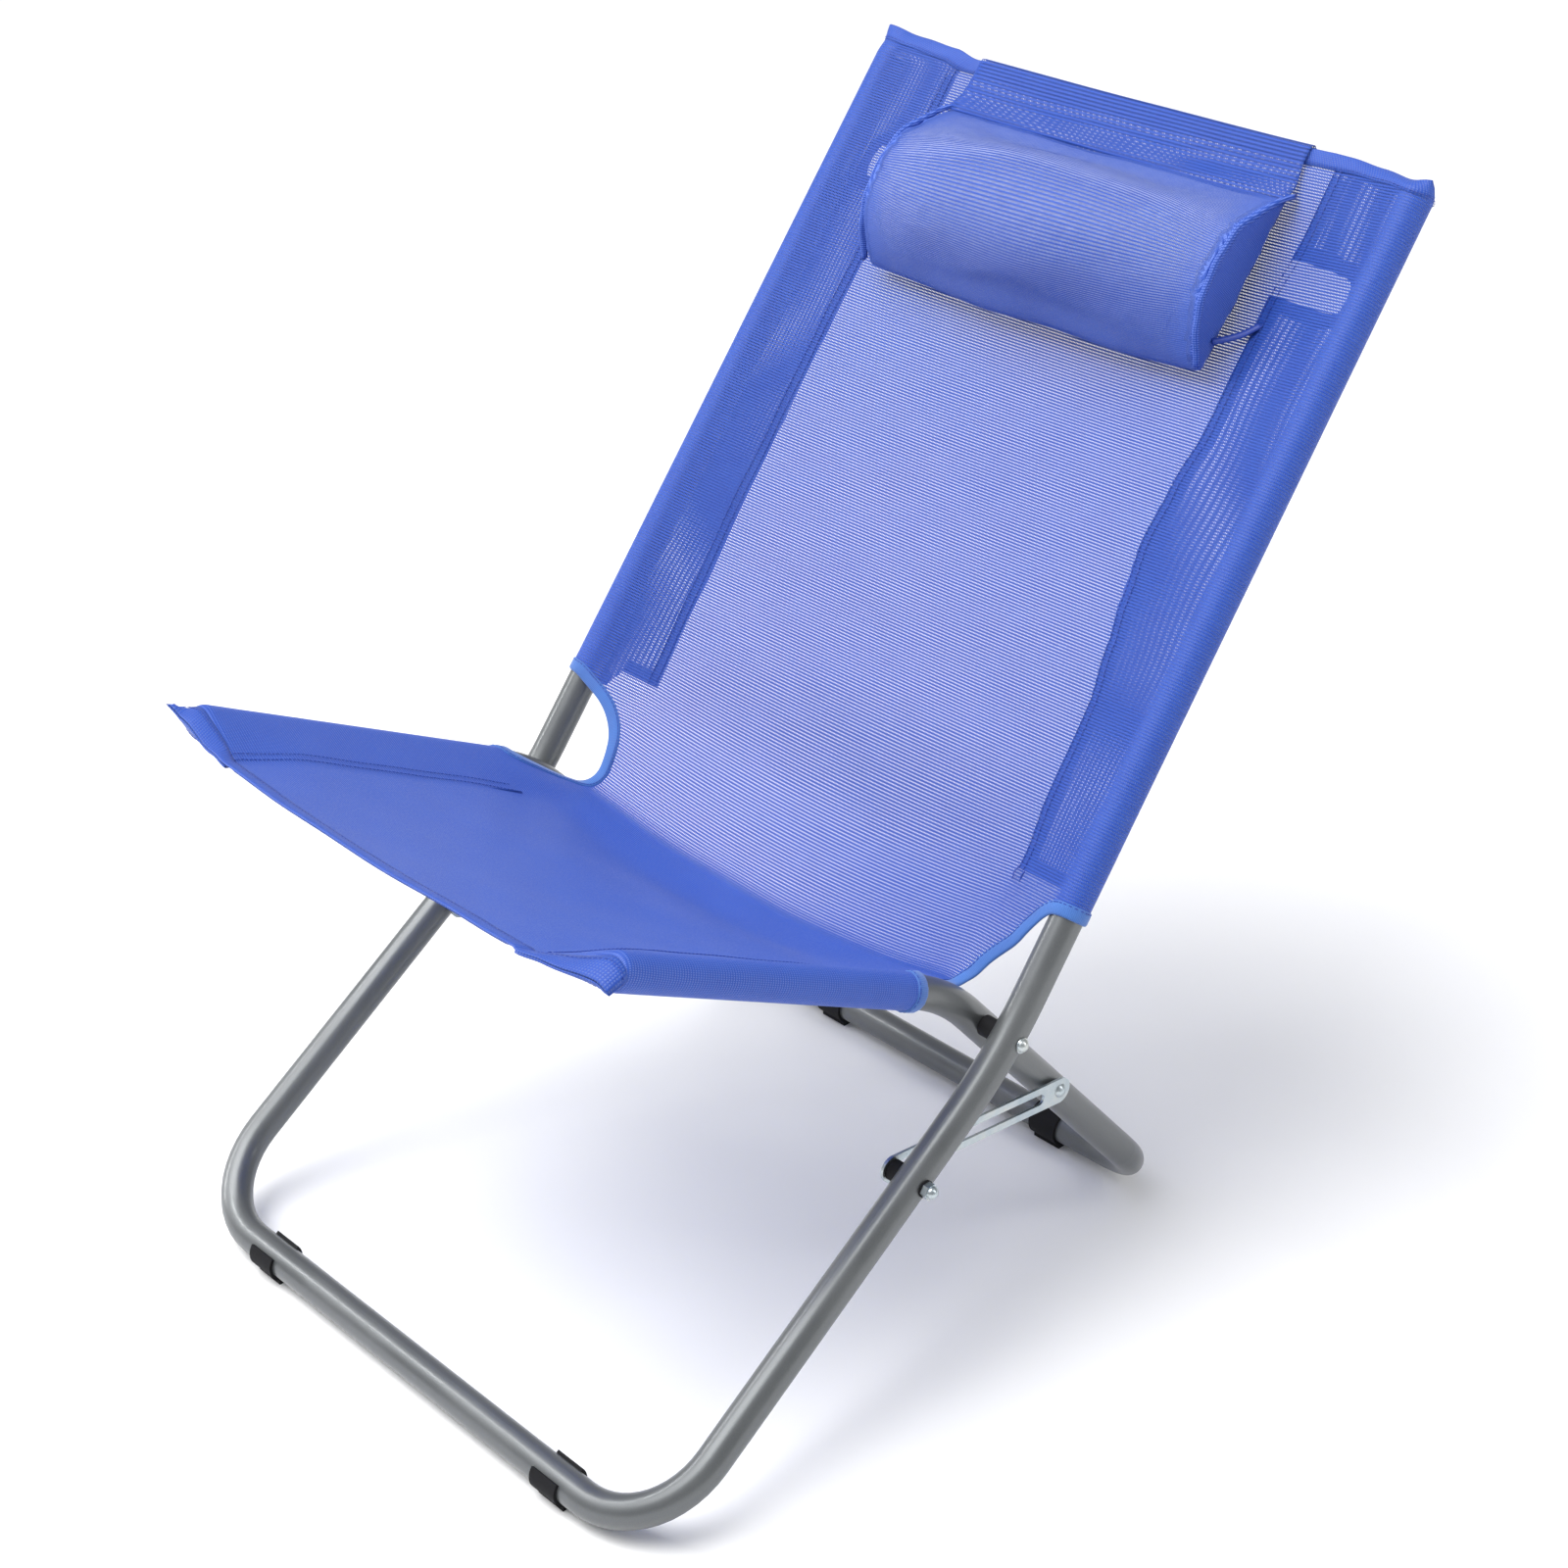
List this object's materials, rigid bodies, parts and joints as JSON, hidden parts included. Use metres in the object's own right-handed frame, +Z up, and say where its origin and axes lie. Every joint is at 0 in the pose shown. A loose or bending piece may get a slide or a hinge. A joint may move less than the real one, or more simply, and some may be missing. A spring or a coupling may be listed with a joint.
{
  "type": "folding beach chair",
  "caption": "Low folding beach chair: two crossed bent-tube frames, slotted stop links, a see-through mesh sling and a bolster pillow.",
  "frame": {"origin": "on the ground, under the centre of the overall bounding box of the open chair", "axes": "+X to the sitter's left, +Y to the rear, +Z up"},
  "size_m": [0.5186, 0.7046, 0.7273],
  "materials": {
    "grey_paint": "satin grey powder paint",
    "zinc_steel": "bright zinc plate",
    "black_plastic": "moulded, slightly glossy",
    "mesh_cloth": "open PVC-coated mesh weave",
    "binding_tape": "woven edge tape",
    "pillow_cover": "mesh weave over soft fill",
    "elastic_cord": "round braided elastic"
  },
  "bodies": {
    "back_frame": {"back_binding_left": "binding_tape", "back_binding_right": "binding_tape", "back_frame_tube": "grey_paint", "back_panel": "mesh_cloth", "back_plug_left": "black_plastic", "back_plug_right": "black_plastic", "back_sleeve_left": "mesh_cloth", "back_sleeve_right": "mesh_cloth", "front_foot_left": "black_plastic", "front_foot_right": "black_plastic", "pillow": "pillow_cover", "pillow_flap": "mesh_cloth", "pillow_tie_left": "elastic_cord", "pillow_tie_right": "elastic_cord", "pivot_rivet_left": "zinc_steel", "pivot_rivet_right": "zinc_steel", "pivot_spacer_left": "black_plastic", "pivot_spacer_right": "black_plastic", "stop_bolt_left": "zinc_steel", "stop_bolt_right": "zinc_steel", "stop_cap_nut_left": "zinc_steel", "stop_cap_nut_right": "zinc_steel", "stop_spacer_left": "black_plastic", "stop_spacer_right": "black_plastic", "stop_washer_left": "black_plastic", "stop_washer_right": "black_plastic"},
    "seat_frame": {"link_rivet_left": "zinc_steel", "link_rivet_right": "zinc_steel", "link_washer_left": "black_plastic", "link_washer_right": "black_plastic", "rear_foot_left": "black_plastic", "rear_foot_right": "black_plastic", "seat_binding_left": "binding_tape", "seat_binding_right": "binding_tape", "seat_frame_tube": "grey_paint", "seat_panel": "mesh_cloth", "seat_plug_left": "black_plastic", "seat_plug_right": "black_plastic", "seat_sleeve_left": "mesh_cloth", "seat_sleeve_right": "mesh_cloth"},
    "link_left": {"slotted_link_left": "zinc_steel"},
    "link_right": {"slotted_link_right": "zinc_steel"}
  },
  "joints": [
    {"name": "fold", "type": "hinge", "parent": "back_frame", "child": "seat_frame", "pos_m": [0, -0.03435, 0.23318], "axis": [-1, 0, 0], "range_deg": [0, 76]},
    {"name": "link_left_swing", "type": "hinge", "parent": "seat_frame", "child": "link_left", "pos_m": [0.2205, 0.03517, 0.15184], "axis": [1, 0, 0], "range_deg": [0, 38]},
    {"name": "link_right_swing", "type": "hinge", "parent": "seat_frame", "child": "link_right", "pos_m": [-0.2205, 0.03517, 0.15184], "axis": [1, 0, 0], "range_deg": [0, 38]}
  ],
  "couplings": [
    {"joint": "link_left_swing", "follows": "fold", "ratio": 0.5},
    {"joint": "link_right_swing", "follows": "fold", "ratio": 0.5}
  ]
}
